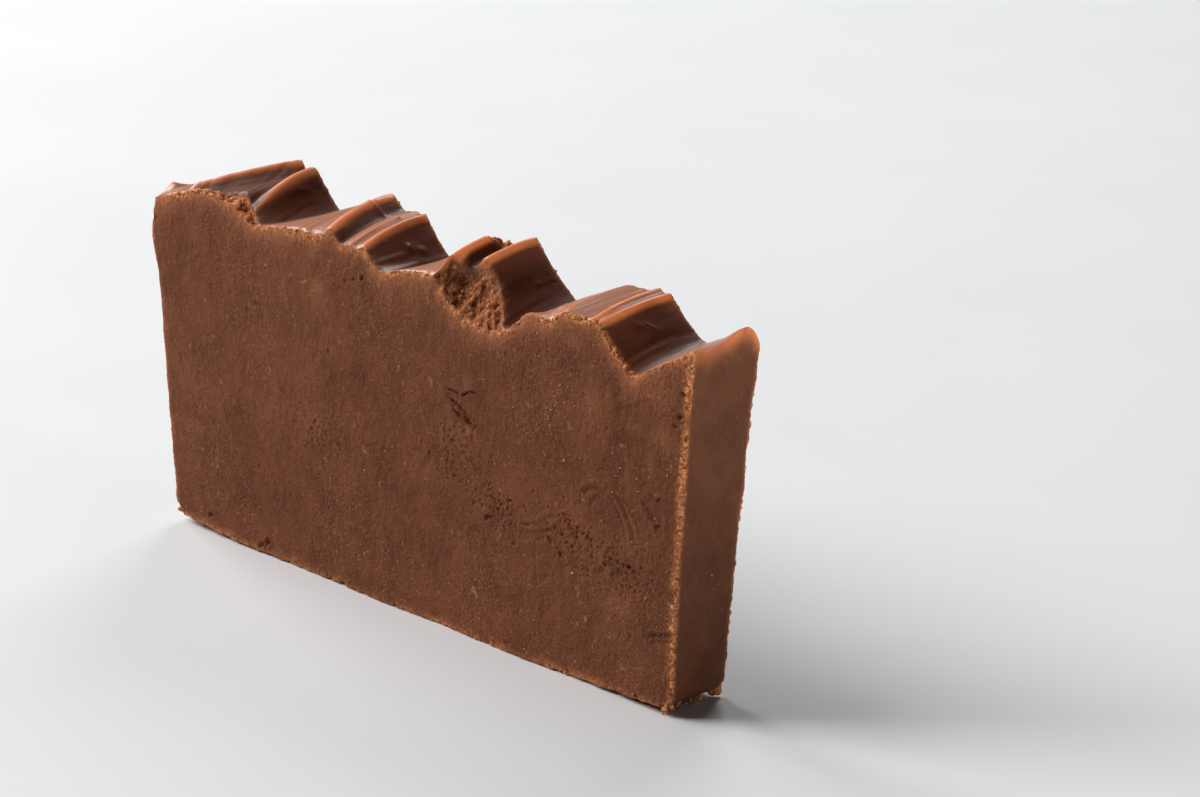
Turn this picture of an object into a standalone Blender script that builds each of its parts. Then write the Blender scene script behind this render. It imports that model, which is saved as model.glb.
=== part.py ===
"""One upright slice of chocolate fudge, cut from a moulded loaf with a ridged top.

The solid stands on its flat bottom, +Z up. +X runs along the length and the front cut face looks along -Y.
"""

from collections import namedtuple

import bmesh
import bpy
import numpy as np

# Sizes are in millimetres, and the finished mesh is turned into metres.
METRES_PER_MM = 0.001

# The slice as a whole.
HALF_LENGTH = 75.6
REFERENCE_HEIGHT = 72.0
FOOT_THICKNESS = 13.3
FRONT_LEAN = 0.87
REAR_LEAN = 5.36
LEFT_DRAFT = 4.9
RIGHT_DRAFT = 3.7
CORNER_RADIUS = 3.0
FLAT_HALF_LENGTH = 22.0
BASE_BOW = 1.35
TOP_THICKNESS = 17.7

# Small departures of the ends from a straight draft.
LEFT_BULGE = 1.2
LEFT_BULGE_HEIGHT = 59.0
LEFT_BULGE_SPREAD = 4.5
LEFT_STEP = 1.0
LEFT_STEP_HEIGHT = 64.0
LEFT_STEP_RISE = 3.0
END_HOLLOW = 0.6

# Slow waves that the wire left in the two cut faces.
CUT_WAVE = 0.22
CUT_WAVE_LENGTH = 41.0
CUT_WAVE_RISE = 0.045
REAR_WAVE_PHASE = 1.7

# One tooth of the top: its foot on the left, the shoulder where its ramp ends, and the crest over the steep face.
Tooth = namedtuple("Tooth", "foot foot_height shoulder shoulder_height crest crest_height")
FRONT_TEETH = (
    Tooth(-76.0, 67.3, -49.6, 73.6, -45.2, 67.6),
    Tooth(-42.5, 67.7, -25.0, 69.3, -10.6, 68.8),
    Tooth(-5.5, 65.9, 9.8, 68.3, 18.2, 69.9),
    Tooth(28.0, 61.5, 44.0, 69.0, 52.8, 68.4),
)
REAR_TEETH = (
    Tooth(-76.0, 68.1, -49.9, 75.4, -44.9, 75.7),
    Tooth(-37.0, 68.0, -25.0, 72.5, -12.3, 72.0),
    Tooth(-3.3, 64.3, 9.8, 71.9, 18.2, 73.4),
    Tooth(30.9, 63.6, 43.0, 70.0, 53.0, 70.4),
)
# The last foot and the height at the right end, front then rear.
LAST_FOOT = (62.6, 62.8)
LAST_FOOT_HEIGHT = (60.8, 63.2)
RIGHT_END_HEIGHT = (68.2, 68.6)

RAMP_SWELL = 0.6
STEEP_POWER = 1.25
END_RISE_POWER = 0.9
EDGE_ROUNDING = 0.55
ROUNDING_SAMPLES = 5
FRONT_EASE_POWER = 2.0

# A ridge, or a groove where its height is negative, drawn along the thickness.
Ridge = namedtuple("Ridge", "front_x rear_x spread height")
RIDGES = (
    Ridge(-49.6, -49.9, 1.1, 1.2),
    Ridge(-47.3, -47.6, 1.0, -1.2),
    Ridge(-21.0, -22.6, 2.0, 2.1),
    Ridge(-17.8, -18.6, 1.0, -0.5),
    Ridge(-14.8, -15.2, 0.8, 0.35),
    Ridge(-11.6, -12.7, 0.9, 0.5),
    Ridge(11.6, 11.6, 1.4, 2.5),
    Ridge(14.9, 14.9, 1.2, -1.0),
    Ridge(17.6, 17.6, 0.9, 0.6),
    Ridge(51.4, 50.4, 0.7, 0.7),
    Ridge(53.0, 53.1, 0.6, 0.3),
)

# A rounded swell or dip of the top, at a place along the length and a distance from the front.
Swell = namedtuple("Swell", "x from_front spread_x spread_y height")
SWELLS = (
    Swell(-76.0, 4.8, 3.0, 2.4, 1.8),
    Swell(76.0, 13.2, 4.0, 2.8, 1.5),
    Swell(76.0, 4.2, 3.0, 2.4, -1.0),
    Swell(76.5, 18.5, 2.4, 2.2, -3.4),
    Swell(33.6, 0.0, 3.0, 2.6, 1.3),
    Swell(40.2, 0.0, 2.2, 2.6, -1.1),
)

# A broken edge: the top falls to an edge height over the depth of the break, deepest part way along.
Break = namedtuple("Break", "start end start_height end_height fall_power depth at_rear")
BREAKS = (
    Break(-59.5, -42.6, 72.6, 67.6, 1.0, 3.0, False),
    Break(9.4, 27.6, 68.0, 61.4, 3.0, 5.9, False),
    Break(8.0, 15.4, 71.6, 71.4, 1.0, 7.0, True),
)
BREAK_POWER = 0.85
LEAST_BREAK_DEPTH = 0.01

# Crags of the broken edges.
CRAG_HEIGHT = 0.55
CRAG_LENGTHS = (2.3, 3.7)

# The grid of the solid.
LENGTH_STEPS = 160
THICKNESS_SHARES = (0.06, 0.14, 0.24, 0.36, 0.5, 0.66, 0.83)
HEIGHT_SHARES = (0.014, 0.029, 0.045, 0.3, 0.6, 0.84, 0.95)


def blend(front, rear, share):
    return front + (rear - front) * share


def ease_from_front(thickness_share):
    """The top settles near the front cut, so the front shape fades fast behind it."""
    return 1.0 - (1.0 - thickness_share) ** FRONT_EASE_POWER


def ramp_height(x, tooth):
    share = (x - tooth.foot) / (tooth.shoulder - tooth.foot)
    swell = RAMP_SWELL * np.sin(np.pi * np.clip(share, 0.0, 1.0))
    return tooth.foot_height + (tooth.shoulder_height - tooth.foot_height) * share + swell


def block_height(x, tooth):
    share = (x - tooth.shoulder) / (tooth.crest - tooth.shoulder)
    return tooth.shoulder_height + (tooth.crest_height - tooth.shoulder_height) * share


def steep_height(x, tooth, next_foot, next_foot_height):
    share = np.clip((next_foot - x) / (next_foot - tooth.crest), 0.0, 1.0)
    return next_foot_height + (tooth.crest_height - next_foot_height) * share**STEEP_POWER


def saw_height(x, ease):
    """Height of the toothed top, before its ridges and broken edges."""
    teeth = [
        Tooth(*(blend(front, rear, ease) for front, rear in zip(front_tooth, rear_tooth)))
        for front_tooth, rear_tooth in zip(FRONT_TEETH, REAR_TEETH)
    ]
    feet = [tooth.foot for tooth in teeth[1:]] + [blend(*LAST_FOOT, ease)]
    foot_heights = [tooth.foot_height for tooth in teeth[1:]] + [blend(*LAST_FOOT_HEIGHT, ease)]
    end_share = np.clip((x - feet[-1]) / (HALF_LENGTH - feet[-1]), 0.0, None)
    end_height = blend(*RIGHT_END_HEIGHT, ease)
    height = foot_heights[-1] + (end_height - foot_heights[-1]) * end_share**END_RISE_POWER
    for tooth, next_foot, next_height in zip(teeth[::-1], feet[::-1], foot_heights[::-1]):
        height = np.where(x < next_foot, steep_height(x, tooth, next_foot, next_height), height)
        height = np.where(x < tooth.crest, block_height(x, tooth), height)
        height = np.where(x < tooth.shoulder, ramp_height(x, tooth), height)
    return height


def rounded_saw_height(x, ease):
    """The toothed top with its corners rounded, as an average over a short length."""
    offsets = np.linspace(-EDGE_ROUNDING, EDGE_ROUNDING, ROUNDING_SAMPLES)
    return sum(saw_height(x + offset, ease) for offset in offsets) / ROUNDING_SAMPLES


def ridge_relief(x, ease):
    relief = np.zeros_like(x)
    for ridge in RIDGES:
        centre = blend(ridge.front_x, ridge.rear_x, ease)
        relief += ridge.height * np.exp(-(((x - centre) / ridge.spread) ** 2))
    return relief


def swell_relief(x, from_front):
    relief = np.zeros_like(x)
    for swell in SWELLS:
        along = (x - swell.x) / swell.spread_x
        across = (from_front - swell.from_front) / swell.spread_y
        relief += swell.height * np.exp(-(along**2) - across**2)
    return relief


def crag_relief(x, from_front):
    """An uneven pattern of lumps from -1 to 1, from two crossed waves."""
    short, long = CRAG_LENGTHS
    first = np.sin(2.0 * np.pi * (x + from_front) / short)
    second = np.sin(2.0 * np.pi * (x - 1.6 * from_front) / long)
    return 0.5 * (first + second)


def broken(height, x, from_front, edge_break):
    """Lowers the top to the slanting surface that a broken edge leaves."""
    share = np.clip((x - edge_break.start) / (edge_break.end - edge_break.start), 0.0, 1.0)
    fall = 1.0 - (1.0 - share) ** edge_break.fall_power
    edge = blend(edge_break.start_height, edge_break.end_height, fall)
    depth = edge_break.depth * 4.0 * share * (1.0 - share)
    from_edge = TOP_THICKNESS - from_front if edge_break.at_rear else from_front
    inside = np.clip(from_edge / np.maximum(depth, LEAST_BREAK_DEPTH), 0.0, 1.0)
    crags = CRAG_HEIGHT * crag_relief(x, from_front) * (1.0 - inside)
    lowered = edge + (height - edge) * inside**BREAK_POWER + crags
    return np.where(depth > LEAST_BREAK_DEPTH, np.minimum(height, lowered), height)


def top_height(x, thickness_share):
    ease = ease_from_front(thickness_share)
    from_front = thickness_share * TOP_THICKNESS
    height = rounded_saw_height(x, ease) + ridge_relief(x, ease) + swell_relief(x, from_front)
    for edge_break in BREAKS:
        height = broken(height, x, from_front, edge_break)
    return height


def base_height(x):
    """The base is flat in the middle and bows up a little towards the ends."""
    beyond = np.clip(np.abs(x) - FLAT_HALF_LENGTH, 0.0, None)
    return BASE_BOW * (beyond / (HALF_LENGTH - FLAT_HALF_LENGTH)) ** 2


def end_position(x, z, thickness_share):
    """How far the end lies from the middle at this height, on the side that x is on."""
    draft = np.where(x < 0.0, LEFT_DRAFT, RIGHT_DRAFT) * (1.0 - z / REFERENCE_HEIGHT)
    bulge = LEFT_BULGE * np.exp(-(((z - LEFT_BULGE_HEIGHT) / LEFT_BULGE_SPREAD) ** 2))
    step_share = np.clip((z - LEFT_STEP_HEIGHT) / LEFT_STEP_RISE, 0.0, 1.0)
    step = LEFT_STEP * step_share * (1.0 - thickness_share)
    hollow = END_HOLLOW * np.sin(np.pi * np.clip(z / REFERENCE_HEIGHT, 0.0, 1.0))
    return HALF_LENGTH - draft + np.where(x < 0.0, bulge - step, -hollow)


def cut_wave(x, z, phase):
    along = 2.0 * np.pi * x / CUT_WAVE_LENGTH
    return CUT_WAVE * np.sin(along + CUT_WAVE_RISE * z + phase)


def round_bottom_corner(x, z, base, end):
    """Moves points of the square corner onto a round one, growing from its centre."""
    beyond = np.abs(x) - (end - CORNER_RADIUS)
    below = CORNER_RADIUS - (z - base)
    in_corner = (beyond > 0.0) & (below > 0.0)
    reach = np.maximum(beyond, below)
    distance = np.hypot(beyond, below)
    shrink = np.where(in_corner, reach / np.maximum(distance, 1e-9), 1.0)
    rounded_x = np.sign(x) * (end - CORNER_RADIUS + beyond * shrink)
    rounded_z = base + CORNER_RADIUS - below * shrink
    return np.where(in_corner, rounded_x, x), np.where(in_corner, rounded_z, z)


def slice_points(shares):
    """Turns shares of length, thickness and height, each from 0 to 1, into points of the slice."""
    length_share, thickness_share, height_share = shares.T
    loaf_x = (2.0 * length_share - 1.0) * HALF_LENGTH
    base = base_height(loaf_x)
    z = base + height_share * (top_height(loaf_x, thickness_share) - base)
    end = end_position(loaf_x, z, thickness_share)
    x = loaf_x * end / HALF_LENGTH
    x, z = round_bottom_corner(x, z, base, end)
    front = -FOOT_THICKNESS / 2.0 + FRONT_LEAN * z / REFERENCE_HEIGHT + cut_wave(x, z, 0.0)
    rear = FOOT_THICKNESS / 2.0 + REAR_LEAN * z / REFERENCE_HEIGHT + cut_wave(x, z, REAR_WAVE_PHASE)
    return np.stack([x, blend(front, rear, thickness_share), z], axis=1)


def cut_across(mesh, axis, shares):
    """Cuts the unit cube with planes at these shares of one axis."""
    normal = [0.0, 0.0, 0.0]
    normal[axis] = 1.0
    for share in shares:
        place = [0.0, 0.0, 0.0]
        place[axis] = share - 0.5
        everything = mesh.verts[:] + mesh.edges[:] + mesh.faces[:]
        bmesh.ops.bisect_plane(mesh, geom=everything, plane_co=place, plane_no=normal)


def stationed_box():
    mesh = bmesh.new()
    bmesh.ops.create_cube(mesh, size=1.0)
    cut_across(mesh, 1, THICKNESS_SHARES)
    cut_across(mesh, 2, HEIGHT_SHARES)
    cut_across(mesh, 0, [step / LENGTH_STEPS for step in range(1, LENGTH_STEPS)])
    return mesh


def centred(points):
    """The bounding box stands over the origin, with its lowest point at zero."""
    low, high = points.min(axis=0), points.max(axis=0)
    middle = (low + high) / 2.0
    return points - np.array([middle[0], middle[1], low[2]])


def fudge_material():
    material = bpy.data.materials.new("fudge")
    material.use_nodes = True
    shader = material.node_tree.nodes["Principled BSDF"]
    shader.inputs["Base Color"].default_value = (0.17, 0.07, 0.035, 1.0)
    shader.inputs["Roughness"].default_value = 0.5
    return material


def build_slice(collection):
    box = stationed_box()
    shares = np.array([vertex.co for vertex in box.verts]) + 0.5
    for vertex, point in zip(box.verts, centred(slice_points(shares))):
        vertex.co = point * METRES_PER_MM
    bmesh.ops.triangulate(box, faces=box.faces[:])
    bmesh.ops.recalc_face_normals(box, faces=box.faces[:])
    mesh = bpy.data.meshes.new("fudge_slice")
    box.to_mesh(mesh)
    box.free()
    mesh.materials.append(fudge_material())
    collection.objects.link(bpy.data.objects.new("fudge_slice", mesh))


def main():
    for old in list(bpy.data.objects):
        bpy.data.objects.remove(old, do_unlink=True)
    collection = bpy.data.collections.new("chocolate_fudge")
    bpy.context.scene.collection.children.link(collection)
    build_slice(collection)


main()
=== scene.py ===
"""Looks of one upright slice of chocolate fudge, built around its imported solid.

The body repeats the solid's shape on a much finer lattice and adds the surface that the camera sees:
pits, crumbly rims, knife marks, drawn ridges and small dents. Crumbs and sugar grains are their own pieces.
All lengths in the shape functions are in millimetres, and finished meshes are turned into metres.
"""

import itertools
from collections import namedtuple
from types import SimpleNamespace

import bmesh
import bpy
import numpy as np
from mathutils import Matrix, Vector
from mathutils.kdtree import KDTree


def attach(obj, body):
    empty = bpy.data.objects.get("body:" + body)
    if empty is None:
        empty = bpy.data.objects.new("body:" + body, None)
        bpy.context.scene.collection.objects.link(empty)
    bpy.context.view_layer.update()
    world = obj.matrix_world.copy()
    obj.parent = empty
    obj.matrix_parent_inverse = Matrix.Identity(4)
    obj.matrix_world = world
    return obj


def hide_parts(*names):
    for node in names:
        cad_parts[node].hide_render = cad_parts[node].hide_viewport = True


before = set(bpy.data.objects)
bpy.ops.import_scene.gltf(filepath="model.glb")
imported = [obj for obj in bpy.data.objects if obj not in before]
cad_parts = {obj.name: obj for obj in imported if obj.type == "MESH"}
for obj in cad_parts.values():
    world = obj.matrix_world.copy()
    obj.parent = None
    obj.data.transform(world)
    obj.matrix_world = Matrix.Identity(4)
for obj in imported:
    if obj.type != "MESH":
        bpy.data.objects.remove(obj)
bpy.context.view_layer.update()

METRES_PER_MM = 0.001
NODE = "fudge_slice"

# The slice as a whole, as in the solid.
HALF_LENGTH = 75.6
REFERENCE_HEIGHT = 72.0
FOOT_THICKNESS = 13.3
FRONT_LEAN = 0.87
REAR_LEAN = 5.36
LEFT_DRAFT = 4.9
RIGHT_DRAFT = 3.7
CORNER_RADIUS = 3.0
FLAT_HALF_LENGTH = 22.0
BASE_BOW = 1.35
TOP_THICKNESS = 17.7
LEFT_BULGE = 1.2
LEFT_BULGE_HEIGHT = 59.0
LEFT_BULGE_SPREAD = 4.5
LEFT_STEP = 1.0
LEFT_STEP_HEIGHT = 64.0
LEFT_STEP_RISE = 3.0
END_HOLLOW = 0.6
CUT_WAVE = 0.22
CUT_WAVE_LENGTH = 41.0
CUT_WAVE_RISE = 0.045
REAR_WAVE_PHASE = 1.7

# The solid is centred over the origin. This moves the shape functions' coordinates to the model's.
MODEL_SHIFT = (0.2272, -2.7734, 0.0)

# The teeth of the top: foot on the left, shoulder where the ramp ends, and crest over the steep face.
Tooth = namedtuple("Tooth", "foot foot_height shoulder shoulder_height crest crest_height")
FRONT_TEETH = (
    Tooth(-76.0, 67.3, -49.6, 73.6, -45.2, 67.6),
    Tooth(-42.5, 67.7, -25.0, 69.3, -10.6, 68.8),
    Tooth(-5.5, 65.9, 9.8, 68.3, 18.2, 69.9),
    Tooth(28.0, 61.5, 44.0, 69.0, 52.8, 68.4),
)
REAR_TEETH = (
    Tooth(-76.0, 68.1, -49.9, 75.4, -44.9, 75.7),
    Tooth(-37.0, 68.0, -25.0, 72.5, -12.3, 72.0),
    Tooth(-3.3, 64.3, 9.8, 71.9, 18.2, 73.4),
    Tooth(30.9, 63.6, 43.0, 70.0, 53.0, 70.4),
)
LAST_FOOT = (62.6, 62.8)
LAST_FOOT_HEIGHT = (60.8, 63.2)
RIGHT_END_HEIGHT = (68.2, 68.6)
RAMP_SWELL = 0.6
STEEP_POWER = 1.25
END_RISE_POWER = 0.9
EDGE_ROUNDING = 0.55
ROUNDING_SAMPLES = 5
FRONT_EASE_POWER = 2.0

# A ridge, or a groove where its height is negative, drawn along the thickness.
Ridge = namedtuple("Ridge", "front_x rear_x spread height")
RIDGES = (
    Ridge(-49.6, -49.9, 1.1, 1.2),
    Ridge(-47.3, -47.6, 1.0, -1.2),
    Ridge(-21.0, -22.6, 2.0, 2.1),
    Ridge(-17.8, -18.6, 1.0, -0.5),
    Ridge(-14.8, -15.2, 0.8, 0.35),
    Ridge(-11.6, -12.7, 0.9, 0.5),
    Ridge(11.6, 11.6, 1.4, 2.5),
    Ridge(14.9, 14.9, 1.2, -1.0),
    Ridge(17.6, 17.6, 0.9, 0.6),
    Ridge(51.4, 50.4, 0.7, 0.7),
    Ridge(53.0, 53.1, 0.6, 0.3),
)

# A rounded swell or dip of the top, at a place along the length and a distance from the front.
Swell = namedtuple("Swell", "x from_front spread_x spread_y height")
SWELLS = (
    Swell(-76.0, 4.8, 3.0, 2.4, 1.8),
    Swell(76.0, 13.2, 4.0, 2.8, 1.5),
    Swell(76.0, 4.2, 3.0, 2.4, -1.0),
    Swell(76.5, 18.5, 2.4, 2.2, -3.4),
    Swell(33.6, 0.0, 3.0, 2.6, 1.3),
    Swell(40.2, 0.0, 2.2, 2.6, -1.1),
)

# A broken edge: the top falls to an edge height over the depth of the break, deepest part way along.
Break = namedtuple("Break", "start end start_height end_height fall_power depth at_rear")
BREAKS = (
    Break(-59.5, -42.6, 72.6, 67.6, 1.0, 3.0, False),
    Break(9.4, 27.6, 68.0, 61.4, 3.0, 5.9, False),
    Break(8.0, 15.4, 71.6, 71.4, 1.0, 7.0, True),
)
BREAK_CRUMB_SHARES = (1.0, 0.65, 1.0)
BREAK_POWER = 0.85
LEAST_BREAK_DEPTH = 0.01
CRAG_HEIGHT = 0.55
CRAG_LENGTHS = (2.3, 3.7)

# The fine lattice: steps along the length, thickness and height, and the triangles that are kept of it.
LATTICE_STEPS = (520, 62, 250)
BODY_TRIANGLES = 185000

# Noise tables repeat after this many cells.
TABLE = 32

# Low relief of smooth noise: how high it is, how large its lumps are and the seed of its draw.
# The ones called patches and wander vary a mask, a width or a place in the same way.
Relief = namedtuple("Relief", "height size seed")
FACE_DENTS = Relief(0.16, 9.0, 21)
FACE_LUMPS = Relief(0.09, 2.6, 25)
FACE_TOOTH = Relief(0.035, 1.3, 27)
WIRE_SMEARS = Relief(0.05, (1.7, 4.0, 6.0), 29)
WIRE_LEAN = 0.35
WIRE_WANDER = Relief(3.0, 17.0, 23)
DRAWN_LINES = (Relief(0.07, (0.7, 14.0, 1.0), 31), Relief(0.06, (1.6, 20.0, 1.0), 33))
SKIN_LUMPS = Relief(0.07, (3.0, 4.0, 3.0), 35)
END_DENTS = Relief(0.12, 7.0, 37)
RIM_PATCHES = Relief(0.65, 5.0, 11)
RIM_WANDER = Relief(0.7, 4.5, 73)
GLOW_PATCHES = Relief(0.6, 6.0, 71)
DENT_LAYERS = 3

# A pit of the cut face: where it is, how wide its mouth is and how deep it goes. A raised one is a chip.
Pit = namedtuple("Pit", "x z radius depth raised", defaults=(False,))
FRONT_PITS = (
    Pit(-43.0, 52.0, 0.3, 0.3),
    Pit(-46.0, 50.0, 0.25, 0.25),
    Pit(-21.0, 47.0, 0.35, 0.4),
    Pit(-36.0, 36.0, 0.35, 0.35),
    Pit(-30.0, 34.5, 0.3, 0.3),
    Pit(-30.5, 33.0, 0.3, 0.35),
    Pit(-40.0, 28.0, 0.3, 0.3),
    Pit(-24.0, 31.0, 0.3, 0.3),
    Pit(-26.0, 26.5, 0.35, 0.3),
    Pit(-11.0, 39.0, 0.25, 0.25),
    Pit(-11.0, 31.0, 0.3, 0.25),
    Pit(-60.0, 23.0, 0.3, 0.25),
    Pit(-66.5, 22.0, 0.3, 0.25),
    Pit(24.0, 25.3, 0.5, 0.6),
    Pit(25.2, 25.6, 0.35, 0.4),
    Pit(31.0, 22.0, 0.4, 0.4),
    Pit(40.3, 25.1, 0.5, 0.6),
    Pit(43.0, 23.0, 0.4, 0.5),
    Pit(61.1, 25.6, 0.45, 0.6),
    Pit(64.0, 26.2, 0.3, 0.4),
    Pit(68.0, 35.0, 0.4, 0.5),
    Pit(68.0, 40.0, 0.35, 0.5),
    Pit(15.0, 31.0, 0.4, 0.4),
    Pit(30.0, 30.0, 0.4, 0.4),
    Pit(-16.0, 62.0, 0.3, 0.5),
    Pit(-13.7, 62.8, 0.35, 0.5),
    Pit(-11.0, 63.6, 0.4, 0.6),
    Pit(72.5, 56.0, 0.45, 0.5),
    Pit(71.5, 54.0, 0.35, 0.45),
    Pit(74.2, 52.4, 0.55, 0.8),
    Pit(74.4, 49.8, 0.45, 0.7),
    Pit(73.8, 47.2, 0.4, 0.55),
    Pit(74.3, 57.8, 0.45, 0.6),
    Pit(73.2, 60.2, 0.4, 0.5),
    Pit(69.0, 60.5, 0.35, 0.3),
    Pit(-65.0, 63.5, 0.3, 0.25),
    Pit(-59.0, 4.0, 0.6, 0.6),
    Pit(-41.0, 3.0, 0.6, 0.6),
    Pit(-43.0, 1.8, 0.6, 0.6),
)

# A patch with many tiny pits: its middle, its half sizes, how far it is turned, and the pits in it.
Patch = namedtuple("Patch", "x z half_length half_height turn_deg pits radius depth")
FRONT_PATCHES = (
    Patch(46.0, 28.5, 7.5, 3.8, -10.0, 220, 0.24, 0.2),
    Patch(57.0, 24.5, 6.5, 3.4, -12.0, 120, 0.24, 0.18),
    Patch(49.0, 22.0, 7.0, 2.6, -8.0, 70, 0.25, 0.15),
    Patch(14.0, 36.0, 9.0, 5.5, 25.0, 110, 0.26, 0.14),
    Patch(28.0, 28.5, 8.0, 3.0, -15.0, 90, 0.27, 0.16),
    Patch(-27.0, 30.0, 7.0, 3.0, -12.0, 60, 0.28, 0.15),
    Patch(17.0, 44.0, 3.0, 4.5, 40.0, 30, 0.27, 0.2),
)
REAR_PATCHES = (
    Patch(20.0, 40.0, 16.0, 6.0, 20.0, 240, 0.28, 0.2),
    Patch(-38.0, 27.0, 9.0, 5.0, -15.0, 140, 0.27, 0.18),
)
# Patches this deep get their tiny pits at full strength, and pits this deep get the full painted shade.
FULL_PATCH_DEPTH = 0.18
FULL_PIT_DEPTH = 0.65
WHOLE_FACE_PITS = 420
PITTED_HALF_LENGTH = 74.0
PITTED_HEIGHTS = (1.0, 70.0)
RAISED_PIT_SHARE = 0.4

# A mark of the knife or a finger: from one point to another and bowed sideways. It is raised where its
# depth is negative.
Stroke = namedtuple("Stroke", "x0 z0 x1 z1 bow width depth")
FRONT_STROKES = (
    Stroke(13.0, 45.9, 20.6, 41.4, 0.8, 0.3, 0.75),
    Stroke(16.8, 46.6, 21.0, 48.4, 0.5, 0.26, 0.55),
    Stroke(16.6, 43.8, 21.6, 41.6, -0.5, 0.28, 0.7),
    Stroke(14.6, 44.0, 17.2, 42.0, 0.2, 0.26, 0.5),
    Stroke(12.8, 47.4, 16.6, 46.8, 0.3, 0.25, 0.4),
    Stroke(11.4, 37.1, 17.0, 45.2, -1.0, 0.5, 0.14),
    Stroke(13.4, 36.0, 16.4, 43.0, -0.8, 0.5, 0.12),
    Stroke(5.2, 29.7, 10.9, 39.9, -1.2, 0.6, 0.1),
    Stroke(48.1, 34.8, 56.4, 36.9, 2.2, 0.4, 0.22),
    Stroke(47.4, 36.0, 57.0, 38.4, 2.0, 0.35, -0.2),
    Stroke(51.4, 31.7, 54.4, 37.0, 1.8, 0.4, 0.18),
    Stroke(56.4, 38.8, 62.5, 29.6, 1.1, 0.45, 0.22),
    Stroke(57.6, 38.9, 63.5, 31.3, 0.9, 0.35, -0.2),
    Stroke(54.8, 38.6, 60.4, 29.4, 1.0, 0.35, 0.16),
    Stroke(63.4, 39.3, 68.4, 33.2, 0.4, 0.3, 0.22),
    Stroke(32.1, 25.1, 43.2, 29.3, -1.5, 0.45, 0.25),
    Stroke(32.7, 24.0, 40.6, 26.2, -0.8, 0.4, 0.18),
    Stroke(30.5, 26.6, 41.0, 31.2, -1.2, 0.35, -0.18),
    Stroke(55.5, 65.6, 60.5, 60.5, 1.2, 0.45, 0.2),
    Stroke(57.0, 65.9, 61.4, 62.0, 0.8, 0.4, -0.14),
    Stroke(65.5, 13.7, 71.9, 15.6, 0.2, 0.45, 0.4),
    Stroke(66.3, 12.9, 72.0, 14.6, 0.2, 0.4, 0.3),
)

# Creases across the ridges of the top, from place to place, each by length and distance from the front.
TOP_STROKES = (
    Stroke(-72.0, 2.0, -62.5, 10.0, -0.5, 1.2, -0.3),
    Stroke(-27.0, 10.6, -13.0, 12.8, 0.5, 0.28, -0.2),
    Stroke(-24.0, 11.6, -21.0, 12.4, 0.3, 0.3, 0.16),
    Stroke(36.0, 5.6, 44.5, 3.4, 0.5, 0.26, -0.18),
    Stroke(37.6, 2.4, 41.6, 3.8, 0.6, 0.3, -0.12),
    Stroke(54.6, 6.0, 57.0, 8.6, 0.2, 0.3, -0.14),
    Stroke(55.4, 8.0, 57.8, 10.4, 0.2, 0.25, -0.12),
    Stroke(-9.0, 8.5, -6.6, 13.8, 0.4, 0.9, -0.16),
    Stroke(-43.5, 9.0, -42.0, 14.0, 0.3, 0.5, -0.2),
)

# The slanting ridge of the first tooth, with the shelf that falls away on its right.
SLANT_RIDGE = Stroke(-66.0, 0.4, -49.8, 17.7, -0.7, 1.0, -1.0)
SLANT_RISE = (0.0, 0.12)
SHELF_DROP = 1.7
SHELF_RUN = (0.2, 4.0)
# Beside the ridge, the shelf's painted shade rises over this distance.
SHELF_SHADE = (0.7, 2.0)
SHELF_END = (-49.6, -46.8)
SHELF_FRONT = (0.2, 2.4)

# Only the upper part of the slice moves with the slanting ridge, in shares of the height.
LIFTED_PART = (0.8, 1.0)

# The steep faces of two teeth get painted deeper shade: the middle and the spread along the length.
STEEP_SHADES = ((-43.2, 2.6), (24.6, 4.5))

# Blobs of the top, by length and distance from the front. Their depth is negative, so they stand up.
TOP_BLOBS = (
    Pit(-8.6, 9.6, 0.5, -0.3),
    Pit(-7.4, 12.0, 0.7, -0.2),
    Pit(-6.4, 10.6, 0.8, -0.16),
    Pit(-50.2, 6.5, 0.3, -0.25),
    Pit(37.0, 3.6, 0.4, -0.2),
    Pit(40.0, 4.6, 0.35, -0.2),
    Pit(24.5, 12.0, 0.5, -0.15),
)

# Bowls in the broken edges, by length and distance from the front.
Bowl = namedtuple("Bowl", "x from_front half_length half_width depth")
BOWLS = (
    Bowl(13.6, 2.6, 3.6, 2.4, 1.7),
    Bowl(18.6, 2.4, 2.6, 1.8, 1.3),
    Bowl(-47.6, 1.2, 2.4, 1.2, 0.5),
    Bowl(11.8, 15.6, 2.4, 1.6, 0.5),
)

# Nicks and stuck lumps along the cut edges, and how far the crumbly rims reach.
NICKS = 430
NICK_RADIUS = (0.22, 0.75)
NICK_LUMP_SHARE = 0.5
FACE_RIM_WIDTH = 1.2
RIGHT_RIM_WIDTH = 1.15
SKIN_RIM_WIDTH = 0.65
RIM_REACH = 3.0
RIM_PATCH_LEVEL = 0.75
BASE_RIM_SHARE = 0.6
LEFT_RIM_SHARE = 0.25
RIGHT_RIM_SHARE = 1.15
REAR_RIM_SHARE = 0.6
SMOOTH_LEFT_CORNER = (1.0, 8.0)

# The crumbly lumps of the rims, and the chunks of the broken places with coarse lumps of their own height.
COARSE_CRUMBS = Relief(0.26, 1.5, 53)
FINE_CRUMBS = Relief(0.16, 0.75, 55)
CHUNKS = Relief(0.55, 2.3, 59)
BREAK_COARSE_HEIGHT = 0.2

# Where a mask is weaker than this, nothing is made.
FAINT = 0.02

# Painted glow makes the skin palest along the ridges and painted light pales the ramps, while painted shade
# darkens the grooves. The bend and the slope are measured over this reach.
BEND_REACH = 1.6
CREST_BEND = (0.05, 0.6)
GROOVE_BEND = (0.15, 0.7)
RAMP_SLOPE = (-0.3, 0.12)

# Painted glow, as of light shining through the thin top of the cut faces and the ends, over these
# distances.
FACE_GLOW = 3.5
END_GLOW = 2.0
END_TIP = (5.0, 12.0)

# The surface stays this close to the solid's box through the thickness.
BOX_ALLOWANCE = 0.3

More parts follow.
